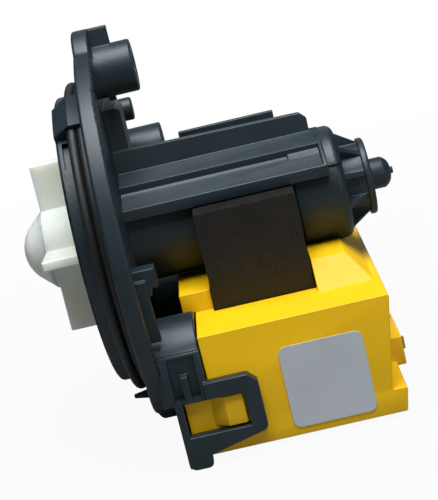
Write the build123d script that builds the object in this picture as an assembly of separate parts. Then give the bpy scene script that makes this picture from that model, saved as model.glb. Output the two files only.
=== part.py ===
from build123d import *
import math
import os

os.makedirs("parts", exist_ok=True)

# Washer drain pump in millimetres. +X runs along the rotor axis from the impeller to the rear nub,
# +Z is up, -Y is the label side. The origin is where the rotor axis meets the flange seat face.

# Clearances and overruns
cut_over = 1.0
snug = 0.05
running = 0.03
slip = 0.3

# Flange, ear and screw bosses
flange_radius = 44.0
flange_thick = 3.8
flange_round = 0.7
flange_blend = 3.0
recess_floor = 2.4
rim_wide = 2.4
screw_hole_radius = 2.2
ear_radius = 10.1
ear_wall_half = 1.2
ear_wall_rear = 8.0
ear_wall_drop = 0.15
top_boss_inset = 6.7
top_boss_radius = 5.9
top_boss_length = 8.4
side_boss_inset = 7.7
side_boss_angle = 17.1
side_boss_radius = 6.0
side_boss_length = 8.9
cup_inset = 11.6
cup_z = -24.4
cup_boss_radius = 9.8
cup_boss_length = 9.0
cup_wall = 1.9
cup_post_radius = 4.9
cup_floor = 2.0
cup_lobe_margin = 0.6
cup_box_past = 1.4
cup_box_low = -30.5
cup_slot_front = 5.5
cup_slot_rear = 11.2
cup_slot_top = -20.6
cup_slot_skin = 0.8
cup_slot_deep = 2.0
cup_rib_front = 7.5
cup_rib_rear = 9.2
boss_round = 0.5
peg_radius = 2.8
peg_length = 4.0
peg_inset = 10.3
peg_angle = 44.5
pin_radius = 1.7
pin_tip_radius = 0.5
pin_length = 7.0
pin_inset = 3.8

# Front spigot with its key and slot
spigot_radius = 33.4
spigot_wall = 2.6
spigot_length = 7.3
spigot_round = 0.7
key_angle = 115.5
key_half_angle = 8.5
key_reach = 3.7
key_skin = 0.8
key_nose_reach = 1.1
key_kink = 3.5
slot_front = 6.0
slot_rear = 4.45
slot_deep = 1.2
slot_angle = 132.0
slot_half_angle = 6.0

# Seal ring round the spigot
seal_wide = 4.3
seal_thick = 2.8
seal_round = 1.5

# Rotor can, rear barrel and nub
can_radius = 12.4
can_bore_radius = 11.2
can_bore_end = 45.5
cap_radius = 12.8
cap_end = 52.4
cap_round = 1.9
saddle_radius = 13.4
saddle_low = 7.0
barrel_radius = 8.2
barrel_end = 58.6
end_disc_radius = 8.9
end_disc_thick = 1.5
end_disc_round = 0.6
gusset_count = 10
gusset_thick = 1.3
gusset_foot_radius = 11.4
nub_radius = 3.6
nub_straight = 3.0
nub_dome = 1.9
nub_mid_share = 0.75
nub_mid_radius_share = 0.68
nub_tip_radius = 0.8
nub_tip_length = 0.6

# Hood of stepped treads and the top rib over the can
rib_thick = 2.0
rib_high_front = 18.8
rib_high_rear = 18.0
rib_end = 47.2
rib_round = 1.5
hood_top = 13.9
hood_step_y = 7.0
hood_step_top = 11.8
hood_step_low = 9.9
hood_edge_y = 13.7
hood_edge_top = 8.0
hood_end = 49.0
hood_cap_thick = 0.9
far_rib_high = 18.1
far_rib_thick = 1.6
far_rib_y = 9.4

# Raised block behind the flange, far side of the top rib
block_y = 11.9
block_top = 28.5
block_rear = 6.3
block_round = 1.2

# Rails and tab behind the flange on the label side
rail_inset = 5.8
rail_thick = 1.5
rail_length = 1.9
rail_start_angle = 182.4
rail_end_angle = 205.4
tab_inset = 11.0
tab_wide = 4.0
tab_top = 0.6
tab_high = 5.9
tab_length = 4.2
tab_step = 1.6

# Stator core
stack_front = 17.7
stack_length = 22.6
stack_half = 20.0
stack_top = 5.1
stack_bottom = -41.3
stack_bore_gap = 0.3
leg_inner = 9.0
yoke_high = 7.4
rivet_radius = 1.6
rivet_head_radius = 2.6
rivet_head_thick = 0.9
rivet_y = 14.5

# Bobbins and windings
bobbin_wall = 0.8
bobbin_flange_thick = 1.1
bobbin_low = -33.4
bobbin_high = -19.8
bobbin_reach = 2.85
winding_reach = 2.6
link_radius = 0.6
cutout_length = 11.0
cutout_wide = 5.0
cutout_thick = 2.2
cutout_round = 0.7

# Coil cover
cover_half = 35.5
cover_front = 7.0
cover_rear = 54.6
cover_top = -17.0
cover_bottom = -43.9
cover_wall = 1.6
cover_slant = 3.4
cover_step_front = 10.2
cover_step_z = -30.8
ledge_slant = 1.0
ledge_top = -38.4
cover_round = 0.5
screw_tip_room = 1.0
base_thick = 1.6
saddle_half = 19.0
front_saddle_front = 10.4
front_saddle_top = -12.3
rear_saddle_rear = 48.4
rear_saddle_top = -10.9
saddle_foot_half = 24.0
saddle_foot_rear = 53.0

# Rear connector shroud and blades
shroud_rear = 56.6
shroud_near = -20.0
shroud_far = -4.0
shroud_low = -39.5
shroud_high = -32.8
shroud_wall = 1.2
socket_depth = 6.0
blade_thick = 0.8
blade_high = 2.8
blade_inset = 3.6
blade_lift = 0.5
blade_proud = 0.7
blade_length = 14.0
lead_radius = 0.6
lead_high = -29.5
far_lead_y = 6.0

# Latch loops, feet and snap wedges
latch_thick = 2.6
latch_top = -26.4
latch_window_top = -30.1
latch_window_low = -37.9
latch_window_end = 20.2
latch_end = 23.6
latch_low_front = -42.6
latch_low_rear = -39.7
latch_arm_inner = 26.0
latch_arm_front = 5.1
latch_arm_rear = 6.7
latch_arm_top = -33.0
latch_root = 0.8
latch_corner = 2.0
latch_low_corner = 0.8
foot_low = -45.4
foot_front = 5.4
foot_rear = 10.4
foot_round = 1.2
wedge_foot = 12.6
wedge_ridge = 15.6
wedge_high = 2.0
wedge_gap = 0.5

# Rating label
label_front = 29.0
label_length = 18.3
label_top = -23.3
label_high = 18.7
label_thick = 0.25
label_corner = 1.8

# Chamber cover, seals and bearings
plate_radius = 19.0
plate_proud = 1.4
plate_seat = 1.2
plug_length = 9.0
seal_groove_front = 1.8
seal_groove_wide = 1.7
seal_groove_deep = 1.2
shaft_seal_radius = 5.4
shaft_seal_front = -0.8
shaft_seal_rear = 2.9
shaft_seal_groove = 0.9
bearing_radius = 5.0
bearing_length = 5.2
boot_thick = 2.0
boot_lip = 0.5
front_bearing_front = 4.5
rear_bearing_front = 47.5
pocket_end_gap = 0.1

# Rotor
shaft_radius = 2.5
shaft_front = -16.0
shaft_chamfer = 0.4
shaft_short_of_pocket = 0.6
carrier_radius = 6.0
carrier_front = 11.1
carrier_rear = 45.7
end_plate_radius = 10.2
end_plate_thick = 1.4
magnet_radius = 10.6
magnet_overhang = 1.2
magnet_chamfer = 0.5
washer_radius = 4.6
washer_thick = 0.8

# Impeller, cap and lost-motion clutch
impeller_radius = 20.0
hub_radius = 9.2
hub_front = -17.0
hub_rear = -2.6
hub_cavity_radius = 7.2
hub_floor = -5.6
blade_count = 4
vane_thick = 2.2
vane_tilt = -4.0
vane_root_sink = 0.6
vane_round = 0.45
back_disc_radius = 14.0
back_disc_thick = 1.2
cap_nose = -23.0
cap_mid = -22.05
cap_mid_radius = 3.9
cap_shoulder = -20.4
cap_shoulder_radius = 6.1
cap_skirt_length = 1.8
cap_skin = 1.3
dog_front = -14.6
dog_rear = -8.0
dog_hub_radius = 4.4
dog_reach = 6.9
dog_angle = 50.0
stop_reach = 4.8
stop_front = -14.9
damper_inner = 2.8
damper_outer = 4.6
damper_thick = 1.9

# Places that follow from the sizes above
recess_radius = flange_radius - rim_wide
top_boss_z = flange_radius - top_boss_inset
pin_z = pin_inset - flange_radius
rail_radius = flange_radius - rail_inset
tab_y = flange_radius - tab_inset
key_radius = spigot_radius + key_reach
key_nose_radius = spigot_radius + key_nose_reach
latch_inner = cover_half + slip
cup_box_reach = latch_inner + cup_box_past
cup_y = cup_box_reach - cup_inset
cup_boss_end = flange_thick + cup_boss_length
stack_rear = stack_front + stack_length
cap_front = stack_rear + 2 * stack_bore_gap
stack_bore_radius = can_radius + stack_bore_gap
seal_radius = spigot_radius + seal_thick
boot_radius = bearing_radius + boot_thick
boot_length = bearing_length + 2 * boot_lip
front_boot_front = front_bearing_front - boot_lip
rear_boot_front = rear_bearing_front - boot_lip
rear_pocket_end = rear_boot_front + boot_length + pocket_end_gap
plug_rear = plate_seat + plug_length
magnet_front = stack_front - magnet_overhang
magnet_rear = stack_rear + magnet_overhang
latch_outer = latch_inner + latch_thick
yoke_top = stack_bottom + yoke_high


def slab(x0, x1, y0, y1, z0, z1):
    """Block between two corners."""
    centre = Pos((x0 + x1) / 2, (y0 + y1) / 2, (z0 + z1) / 2)
    return centre * Box(x1 - x0, y1 - y0, z1 - z0)


def rod(x0, x1, radius, y=0, z=0):
    """Cylinder along X."""
    return extrude(Plane.YZ.offset(x0) * Pos(y, z) * Circle(radius), amount=x1 - x0)


def tube(x0, x1, outer, inner, y=0, z=0):
    """Ring along X."""
    face = Circle(outer) - Circle(inner)
    return extrude(Plane.YZ.offset(x0) * Pos(y, z) * face, amount=x1 - x0)


def turned(points):
    """Solid of revolution about the rotor axis from (x, radius) corners."""
    outline = Polyline([(x, 0, r) for x, r in points], close=True)
    return revolve(make_face(outline), axis=Axis.X)


def plate_x(points, x0, x1):
    """Flat plate square to X from (y, z) corners."""
    outline = Polyline([(x0, y, z) for y, z in points], close=True)
    return extrude(make_face(outline), amount=x1 - x0, dir=(1, 0, 0))


def plate_y(points, y0, y1):
    """Flat plate square to Y from (x, z) corners."""
    outline = Polyline([(x, y0, z) for x, z in points], close=True)
    return extrude(make_face(outline), amount=y1 - y0, dir=(0, 1, 0))


def round_end(solid, radius, x):
    """Round the circular edges of a turned solid in the plane at x."""
    edges = [e for e in solid.edges() if abs(e.center().X - x) < snug and abs(e.bounding_box().size.X) < snug]
    return fillet(edges, radius)


def mirrored(solid):
    """The same solid on the other side of the rotor axis."""
    return mirror(solid, about=Plane.XZ)


def on_circle(radius, angle):
    """Y and Z of a point at an angle from +Y on a circle about the rotor axis."""
    return radius * math.cos(math.radians(angle)), radius * math.sin(math.radians(angle))


def side_boss_place():
    """Y and Z of the side screw boss."""
    return on_circle(flange_radius - side_boss_inset, side_boss_angle)


def peg_place():
    """Y and Z of the peg behind the flange."""
    return on_circle(flange_radius - peg_inset, peg_angle)


def lower_hole_place():
    """Y and Z of the lower screw hole on the far side, outside the seal ring."""
    reach = seal_radius + screw_hole_radius + slip
    return on_circle(reach, math.degrees(math.atan2(cup_z, cup_y)))


def sector(x0, x1, outer, inner, middle, half):
    """Part of a ring about the rotor axis, between two angles."""
    reach = outer / math.cos(math.radians(half)) + cut_over
    start = on_circle(reach, middle - half)
    end = on_circle(reach, middle + half)
    wedge = plate_x([(0, 0), start, end], x0, x1)
    return tube(x0, x1, outer, inner) & wedge


def flange_plate():
    """Flange plate with the ear and both lower lobes, blended where they meet the disc."""
    lobe = cup_boss_radius + cup_lobe_margin
    lobes = [(0, top_boss_z, ear_radius), (cup_y, cup_z, lobe), (-cup_y, cup_z, lobe)]
    outline = Circle(flange_radius)
    for y, z, radius in lobes:
        outline = outline + Pos(y, z) * Circle(radius)
    plate = extrude(Plane.YZ * outline, amount=flange_thick)
    corners = []
    for edge in plate.edges().filter_by(Axis.X):
        at = edge.center()
        if any(abs(math.hypot(at.Y - y, at.Z - z) - radius) < snug for y, z, radius in lobes):
            corners.append(edge)
    return fillet(corners, flange_blend)


def flange():
    """Round flange with its ear, lower lobes and shallow rear recess."""
    plate = flange_plate()
    rims = [e for e in plate.edges() if e.bounding_box().size.X < snug]
    return fillet(rims, flange_round) - rod(recess_floor, flange_thick + cut_over, recess_radius)


def ear_wall():
    """Short wall behind the top of the ear, above its screw boss."""
    top = top_boss_z + ear_radius - ear_wall_drop
    return slab(recess_floor - cut_over, ear_wall_rear, -ear_wall_half, ear_wall_half, top_boss_z, top)


def boss(length, radius, y, z):
    """Round boss that rises from the recess floor, with a softened end."""
    body = rod(recess_floor - cut_over, flange_thick + length, radius, y, z)
    return round_end(body, boss_round, flange_thick + length)


def cup_boss():
    """Large cupped boss with a box-like lower half, far side."""
    box = slab(flange_thick - cut_over, cup_boss_end, cup_y, cup_box_reach, cup_box_low, cup_z)
    face = cup_y + cup_boss_radius
    slope = plate_x([(cup_y, cup_z), (cup_box_reach, cup_z), (face, cup_slot_top + cup_slot_skin),
                     (cup_y, cup_slot_top + cup_slot_skin)], flange_thick - cut_over, cup_boss_end)
    body = boss(cup_boss_length, cup_boss_radius, cup_y, cup_z) + box + slope
    slot = slab(cup_slot_front, cup_slot_rear, cup_box_reach - cup_slot_deep, cup_box_reach + cut_over,
                cup_box_low + cup_slot_skin, cup_slot_top)
    rib = slab(cup_rib_front, cup_rib_rear, cup_box_reach - cup_slot_deep - cut_over, cup_box_reach - snug,
               cup_box_low, cup_z)
    floor = flange_thick + cup_floor
    hollow = rod(floor, cup_boss_end + cut_over, cup_boss_radius - cup_wall, cup_y, cup_z)
    hollow = hollow - rod(floor, cup_boss_end + cut_over, cup_post_radius, *lower_hole_place())
    return body - slot - hollow + (rib - hollow)


def spigot():
    """Front spigot with its slot."""
    body = tube(-spigot_length, cut_over, spigot_radius, spigot_radius - spigot_wall)
    body = round_end(body, spigot_round, -spigot_length)
    return body - sector(-slot_front, -slot_rear, spigot_radius + cut_over, spigot_radius - slot_deep,
                         slot_angle, slot_half_angle)


def spigot_key():
    """Key block on the spigot that bridges the seal ring."""
    under = key_radius - key_skin
    bridge = seal_wide + snug
    root = spigot_radius - spigot_wall / 2
    profile = turned([(-spigot_length, root), (-spigot_length, key_nose_radius), (-key_kink, key_radius),
                      (cut_over, key_radius), (cut_over, under), (-bridge, under), (-bridge, root)])
    start = on_circle(2 * key_radius, key_angle - key_half_angle)
    end = on_circle(2 * key_radius, key_angle + key_half_angle)
    return profile & plate_x([(0, 0), start, end], -spigot_length, cut_over)


def can():
    """Rotor can with its cap, saddle, rear barrel, gussets and nub."""
    body = rod(recess_floor - cut_over, cap_front + cut_over, can_radius)
    cap = round_end(rod(cap_front, cap_end, cap_radius), cap_round, cap_end)
    saddle = round_end(rod(hood_end - hood_cap_thick, cap_end, saddle_radius), cap_round, cap_end)
    saddle = saddle & slab(0, cap_end, -saddle_radius, saddle_radius, saddle_low, saddle_radius + cut_over)
    barrel = rod(cap_end - cap_round, barrel_end, barrel_radius)
    disc = rod(barrel_end - end_disc_thick, barrel_end, end_disc_radius)
    disc = round_end(disc, end_disc_round, barrel_end)
    body = body + cap + saddle + barrel + disc
    foot = barrel_radius - cut_over
    corners = [(cap_end - cap_round, foot), (cap_end - cap_round, gusset_foot_radius),
               (cap_end, gusset_foot_radius), (barrel_end - end_disc_thick, end_disc_radius - end_disc_round),
               (barrel_end - end_disc_thick, foot)]
    gusset = plate_y(corners, -gusset_thick / 2, gusset_thick / 2)
    for index in range(gusset_count):
        body = body + Rot(360 * index / gusset_count, 0, 0) * gusset
    return body + nub()


def nub():
    """Round nub with its small tip at the rear end."""
    straight = barrel_end + nub_straight
    dome_end = straight + nub_dome
    foot = barrel_end - cut_over
    tip_end = dome_end + nub_tip_length
    middle = (straight + nub_dome * nub_mid_share, 0, nub_radius * nub_mid_radius_share)
    side = Line((foot, 0, nub_radius), (straight, 0, nub_radius))
    dome = ThreePointArc((straight, 0, nub_radius), middle, (dome_end, 0, nub_tip_radius))
    rest = Polyline((dome_end, 0, nub_tip_radius), (tip_end, 0, nub_tip_radius), (tip_end, 0, 0),
                    (foot, 0, 0), (foot, 0, nub_radius))
    return revolve(make_face([side, dome, rest]), axis=Axis.X)


def hood():
    """Stepped hood over the can, with the top rib, its end plate and the far rib."""
    front = recess_floor - cut_over
    low = stack_top + slip
    rib = plate_y([(front, 0), (front, rib_high_front), (rib_end - rib_round, rib_high_rear),
                   (rib_end, rib_high_rear - rib_round), (rib_end, 0)], -rib_thick / 2, rib_thick / 2)
    near = [(hood_step_y, hood_step_top), (hood_step_y, hood_step_low), (hood_edge_y, hood_edge_top),
            (hood_edge_y, low)]
    far = [(-y, z) for y, z in reversed(near)]
    treads = plate_x([(0, hood_top)] + near + far, front, hood_end)
    wedge = [(hood_step_y, hood_step_top), (hood_edge_y, hood_edge_top), (hood_step_y, low)]
    end_plate = plate_x(wedge, hood_end - hood_cap_thick, hood_end)
    far_rib = slab(stack_front, stack_rear, far_rib_y - far_rib_thick / 2, far_rib_y + far_rib_thick / 2,
                   low, far_rib_high)
    return rib + treads + end_plate + mirrored(end_plate) + far_rib


def back_block():
    """Raised block behind the top of the flange, beside the top rib."""
    block = slab(recess_floor - cut_over, block_rear, 0, block_y, hood_edge_top, block_top)
    edges = [e for e in block.edges() if e.center().X > block_rear - snug and e.center().Z > block_top - snug]
    return fillet(edges, block_round)


def rails_and_tab():
    """Curved rail and stepped tab behind the flange, label side."""
    middle = (rail_start_angle + rail_end_angle) / 2
    half = (rail_end_angle - rail_start_angle) / 2
    front = recess_floor - cut_over
    rail = sector(front, flange_thick + rail_length, rail_radius, rail_radius - rail_thick, middle, half)
    end = flange_thick + tab_length
    tab = slab(front, end, -tab_y - tab_wide, -tab_y, tab_top - tab_high, tab_top)
    step = slab(end - tab_step, end + cut_over, -tab_y - tab_wide - cut_over, -tab_y + cut_over,
                tab_top - tab_high - cut_over, tab_top - tab_high + tab_step)
    return rail + (tab - step)


def latch_loop():
    """Latch loop beside the coil cover, with its arm and foot, label side."""
    near = -latch_outer
    far = -latch_inner
    root = cup_boss_end - latch_root
    frame = plate_y([(latch_arm_front, cup_box_low + latch_root), (latch_arm_rear, cup_box_low + latch_root),
                     (latch_arm_rear, latch_window_low), (latch_window_end, latch_window_low),
                     (latch_window_end, latch_window_top), (root, latch_window_top), (root, latch_top),
                     (latch_end - latch_corner, latch_top), (latch_end, latch_top - latch_corner),
                     (latch_end, latch_low_rear + latch_low_corner),
                     (latch_end - latch_low_corner, latch_low_rear),
                     (foot_rear, latch_low_front), (latch_arm_front, latch_low_front)], near, far)
    arm = plate_x([(near, latch_low_front), (near, foot_low + foot_round), (near + foot_round, foot_low),
                   (-latch_arm_inner, foot_low), (-latch_arm_inner, latch_arm_top), (far, latch_arm_top),
                   (far, latch_low_front)], latch_arm_front, latch_arm_rear)
    foot = slab(foot_front, foot_rear, near, far, foot_low, latch_low_front + cut_over)
    low = foot_low + foot_round
    edges = [e for e in foot.edges() if e.center().Z < low and e.bounding_box().size.Y > foot_round]
    return frame + arm + fillet(edges, foot_round)


def locating_pin():
    """Tapered locating pin on the front of the flange."""
    profile = plate_y([(cut_over, 0), (cut_over, pin_radius), (0, pin_radius), (-pin_length, pin_tip_radius),
                       (-pin_length, 0)], 0, cut_over).faces().sort_by(Axis.Y)[0]
    return Pos(0, 0, pin_z) * revolve(profile, axis=Axis.X)


def screw_holes():
    """Holes through all four screw bosses."""
    end = cup_boss_end + cut_over
    holes = rod(-cut_over, end, screw_hole_radius, 0, top_boss_z)
    holes = holes + rod(-cut_over, end, screw_hole_radius, *side_boss_place())
    lower = rod(-cut_over, end, screw_hole_radius, *lower_hole_place())
    return holes + lower + mirrored(lower)


def rotor_chamber():
    """Space inside the can: plate seat, main bore and rear bearing pocket."""
    seat = rod(-cut_over, plate_seat, plate_radius + snug)
    bore = rod(0, can_bore_end, can_bore_radius)
    pocket = rod(can_bore_end - cut_over, rear_pocket_end, boot_radius + snug)
    return seat + bore + pocket


def pump_housing():
    """Whole charcoal moulding."""
    body = flange() + ear_wall() + spigot() + spigot_key() + can() + hood() + back_block() + rails_and_tab()
    body = body + boss(top_boss_length, top_boss_radius, 0, top_boss_z)
    body = body + boss(side_boss_length, side_boss_radius, *side_boss_place())
    body = body + boss(peg_length, peg_radius, *peg_place())
    cup = cup_boss()
    loop = latch_loop()
    body = body + cup + mirrored(cup) + loop + mirrored(loop) + locating_pin()
    return body - screw_holes() - rotor_chamber()


def flange_seal():
    """Rubber ring round the spigot root, against the flange."""
    ring = tube(-seal_wide, 0, seal_radius, spigot_radius + snug)
    front = [e for e in ring.edges() if e.center().X < -snug]
    outer = [e for e in front if abs(e.bounding_box().size.Z - 2 * seal_radius) < snug]
    return fillet(outer, seal_round)


def chamber_cover():
    """Plate and plug that close the rotor chamber and hold the front bearing."""
    plug = can_bore_radius - snug
    seat = shaft_seal_radius + snug
    boot = boot_radius + snug
    groove = plug - seal_groove_deep
    groove_front = plate_seat + seal_groove_front
    floor = front_boot_front - snug
    return turned([(-plate_proud, seat), (-plate_proud, plate_radius), (plate_seat, plate_radius),
                   (plate_seat, plug), (groove_front, plug), (groove_front, groove),
                   (groove_front + seal_groove_wide, groove), (groove_front + seal_groove_wide, plug),
                   (plug_rear, plug), (plug_rear, boot), (floor, boot), (floor, seat)])


def cover_seal():
    """O-ring in the groove of the chamber cover."""
    section = seal_groove_deep / 2
    middle = plate_seat + seal_groove_front + seal_groove_wide / 2
    radius = can_bore_radius - snug - section
    return Pos(middle, 0, 0) * Rot(0, 90, 0) * Torus(radius, section)


def shaft_seal():
    """Lip seal on the shaft."""
    inner = shaft_radius + running
    lip = inner + shaft_seal_groove
    step = shaft_seal_front + shaft_seal_groove
    return turned([(shaft_seal_front, inner), (shaft_seal_front, shaft_seal_radius),
                   (shaft_seal_rear, shaft_seal_radius), (shaft_seal_rear, lip), (step, lip), (step, inner)])


def bearing(front):
    """Plain sintered bush."""
    body = tube(front, front + bearing_length, bearing_radius, shaft_radius + running)
    return body


def bearing_boot(front):
    """Rubber boot that wraps a bush, with a lip at each end."""
    rear = front + boot_length
    inner = bearing_radius + snug
    lip = bearing_radius - boot_lip
    return turned([(front, lip), (front, boot_radius), (rear, boot_radius), (rear, lip),
                   (rear - boot_lip, lip), (rear - boot_lip, inner), (front + boot_lip, inner),
                   (front + boot_lip, lip)])


def shaft():
    """Rotor shaft with chamfered ends."""
    body = rod(shaft_front, rear_pocket_end - shaft_short_of_pocket, shaft_radius)
    ends = [e for e in body.edges() if e.bounding_box().size.X < snug]
    return chamfer(ends, shaft_chamfer)


def rotor_carrier():
    """Plastic core that joins magnet and shaft, with an end plate each side."""
    inner = shaft_radius + snug / 2
    front_plate = magnet_front - snug
    rear_plate = magnet_rear + snug
    front_disc = tube(front_plate - end_plate_thick, front_plate, end_plate_radius, inner)
    rear_disc = tube(rear_plate, rear_plate + end_plate_thick, end_plate_radius, inner)
    return tube(carrier_front, carrier_rear, carrier_radius, inner) + front_disc + rear_disc


def rotor_magnet():
    """Ferrite ring magnet."""
    body = tube(magnet_front, magnet_rear, magnet_radius, carrier_radius + snug)
    outer = [e for e in body.edges() if abs(e.bounding_box().size.Z - 2 * magnet_radius) < snug
             and e.bounding_box().size.X < snug]
    return chamfer(outer, magnet_chamfer)


def thrust_washer(front):
    """Thrust washer on the shaft."""
    return tube(front, front + washer_thick, washer_radius, shaft_radius + snug / 2)


def drive_dog():
    """Driver on the shaft inside the impeller hub, with one lug."""
    hub = tube(dog_front, dog_rear, dog_hub_radius, shaft_radius + snug / 2)
    lug = sector(dog_front, dog_rear, dog_reach, dog_hub_radius - snug, 90, dog_angle / 2)
    return hub + lug


def clutch_damper():
    """Rubber ring between the dog and the hub floor."""
    rear = hub_floor - snug
    return tube(rear - damper_thick, rear, damper_outer, damper_inner)


def impeller():
    """Four straight blades on a hub with a small back disc and an inner stop."""
    bore = shaft_radius + 2 * running
    body = rod(hub_front, hub_rear, hub_radius) + rod(hub_rear - back_disc_thick, hub_rear, back_disc_radius)
    body = body - rod(hub_front - cut_over, hub_floor, hub_cavity_radius) - rod(hub_floor, 0, bore)
    stop = sector(stop_front, hub_floor, hub_cavity_radius + snug, stop_reach, -90, dog_angle / 2)
    vane = slab(hub_front, hub_rear - back_disc_thick / 2, hub_radius - vane_root_sink, impeller_radius,
                -vane_thick / 2, vane_thick / 2)
    tips = [e for e in vane.edges() if e.center().Y > impeller_radius - snug]
    vane = fillet(tips, vane_round)
    for index in range(blade_count):
        body = body + Rot(vane_tilt + 360 * index / blade_count, 0, 0) * vane
    return body + stop


def impeller_cap():
    """Rounded nose that closes the hub, with a snap skirt."""
    skirt = hub_cavity_radius - snug
    skirt_end = hub_front + cap_skirt_length
    shoulder = (cap_shoulder, 0, cap_shoulder_radius)
    inner_shoulder = (cap_shoulder + cap_skin, 0, cap_shoulder_radius - cap_skin)
    nose = ThreePointArc((cap_nose, 0, 0), (cap_mid, 0, cap_mid_radius), shoulder)
    rest = Polyline(shoulder, (hub_front - snug, 0, hub_radius), (hub_front - snug, 0, skirt),
                    (skirt_end, 0, skirt), (skirt_end, 0, skirt - cap_skin), (hub_front, 0, skirt - cap_skin),
                    inner_shoulder, (cap_nose + cap_skin, 0, 0), (cap_nose, 0, 0))
    return revolve(make_face([nose, rest]), axis=Axis.X)


def stator_core():
    """Two-legged pack of laminations round the can."""
    outer = slab(stack_front, stack_rear, -stack_half, stack_half, stack_bottom, stack_top)
    window = slab(stack_front - cut_over, stack_rear + cut_over, -leg_inner, leg_inner, yoke_top, 0)
    bore = rod(stack_front - cut_over, stack_rear + cut_over, stack_bore_radius)
    mouth = slab(stack_front - cut_over, stack_rear + cut_over, -stack_bore_radius, stack_bore_radius,
                 0, stack_top + cut_over)
    mouth = mouth & slab(stack_front - cut_over, stack_rear + cut_over, -can_radius, can_radius,
                         0, stack_top + cut_over)
    body = outer - window - bore - mouth
    for y in (-rivet_y, rivet_y):
        body = body - rod(stack_front - cut_over, stack_rear + cut_over, rivet_radius + snug, y, rivet_z())
    return body


def rivet_z():
    """Height of the rivets, in the middle of the yoke."""
    return (stack_bottom + yoke_top) / 2


def core_rivets():
    """Two rivets through the yoke."""
    group = []
    for y in (-rivet_y, rivet_y):
        rivet = rod(stack_front, stack_rear, rivet_radius, y, rivet_z())
        for x in (stack_front - rivet_head_thick - snug, stack_rear + snug):
            rivet = rivet + rod(x, x + rivet_head_thick, rivet_head_radius, y, rivet_z())
            rivet = rivet + rod(x - snug, x + rivet_head_thick + snug, rivet_radius, y, rivet_z())
        group.append(rivet)
    return Compound(group)


def leg_frame(grow, z0, z1):
    """Block round one leg of the core, grown sideways by a thickness, label side."""
    return slab(stack_front - grow, stack_rear + grow, -stack_half - grow, -leg_inner + grow, z0, z1)


def bobbin():
    """Coil former on one leg, label side."""
    core = leg_frame(snug + bobbin_wall, bobbin_low, bobbin_high)
    low = leg_frame(bobbin_reach, bobbin_low, bobbin_low + bobbin_flange_thick)
    high = leg_frame(bobbin_reach, bobbin_high - bobbin_flange_thick, bobbin_high)
    return core + low + high - leg_frame(snug, bobbin_low - cut_over, bobbin_high + cut_over)


def winding():
    """Wound block of one coil, label side."""
    z0 = bobbin_low + bobbin_flange_thick + snug
    z1 = bobbin_high - bobbin_flange_thick - snug
    block = leg_frame(winding_reach, z0, z1)
    upright = [e for e in block.edges() if e.bounding_box().size.Z > bobbin_flange_thick]
    block = fillet(upright, winding_reach / 2)
    return block - leg_frame(2 * snug + bobbin_wall, z0 - cut_over, z1 + cut_over)


def thermal_cutout():
    """Thermal cut-out lying on the near winding."""
    near = -stack_half - winding_reach - snug
    middle_x = (stack_front + stack_rear) / 2
    middle_z = (bobbin_low + bobbin_high) / 2
    body = slab(middle_x - cutout_length / 2, middle_x + cutout_length / 2, near - cutout_thick, near,
                middle_z - cutout_wide / 2, middle_z + cutout_wide / 2)
    return fillet(body.edges().filter_by(Axis.X), cutout_round)


def coil_link():
    """Wire that joins the two windings behind the core."""
    x = stack_rear + winding_reach + link_radius + snug
    z = (bobbin_low + bobbin_high) / 2
    reach = (stack_half + leg_inner) / 2
    path = Plane.XZ.offset(reach) * Pos(x, z) * Circle(link_radius)
    return extrude(path, amount=2 * reach, dir=(0, 1, 0))


def cover_outline(inset, z_low):
    """Side outline of the coil cover, drawn in by an inset, as (x, z) corners."""
    low_front = cover_front + inset
    front = cover_step_front + inset
    rear = cover_rear - inset
    low_rear = cover_rear - cover_slant - inset
    step = ledge_top - inset
    shelf = cover_step_z - inset
    top = cover_top - inset
    return [(low_front, z_low), (rear - ledge_slant, z_low), (rear, step), (low_rear, step), (rear, top),
            (front, top), (front, shelf), (low_front, shelf)]


def saddles():
    """Front and rear saddles that reach up under the can."""
    front_rear = stack_front - slip
    rear_front = stack_rear + slip
    low = cover_top - cover_wall
    front = slab(front_saddle_front, front_rear, -saddle_half, saddle_half, low, front_saddle_top)
    foot = saddle_foot_half
    side = plate_y([(rear_front, low), (rear_front, rear_saddle_top), (rear_saddle_rear, rear_saddle_top),
                    (saddle_foot_rear, cover_top), (saddle_foot_rear, low)], -foot, foot)
    across = plate_x([(-foot, low), (-foot, cover_top), (-saddle_half, rear_saddle_top),
                      (saddle_half, rear_saddle_top), (foot, cover_top), (foot, low)],
                     rear_front, saddle_foot_rear)
    front = front - rod(front_saddle_front - cut_over, front_rear + cut_over, can_radius + slip)
    rear = side & across
    return front + (rear - rod(rear_front - cut_over, saddle_foot_rear + cut_over, cap_radius + slip))


def cup_clearance(grow, start, end):
    """Two blocks that keep the cover clear of the cupped bosses."""
    radius = cup_boss_radius + slip + grow
    side = slab(start, end, cup_y, cover_half + cut_over, cup_box_low - slip - grow, cup_z + radius)
    far = rod(start, end, radius, cup_y, cup_z) + side
    return far + mirrored(far)


def screw_tip_pockets():
    """Shallow pockets in the cover's front wall that keep clear of the lower screws' tips."""
    deep = cup_boss_end + slip + screw_tip_room
    far = rod(0, deep, screw_hole_radius + slip, *lower_hole_place())
    return far + mirrored(far)


def connector_shroud():
    """Shroud round the two blades behind the cover."""
    foot = cover_rear - cover_slant - cover_wall
    return slab(foot, shroud_rear, shroud_near, shroud_far, shroud_low, shroud_high)


def socket():
    """Open space inside the shroud."""
    return slab(shroud_rear - socket_depth, shroud_rear + cut_over, shroud_near + shroud_wall,
                shroud_far - shroud_wall, shroud_low + shroud_wall, shroud_high - shroud_wall)


def blade_places():
    """Y of both terminal blades."""
    return (shroud_near + blade_inset, shroud_far - blade_inset)


def blade_z():
    """Height of the blades' middle."""
    return (shroud_low + shroud_high) / 2 + blade_lift


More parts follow.
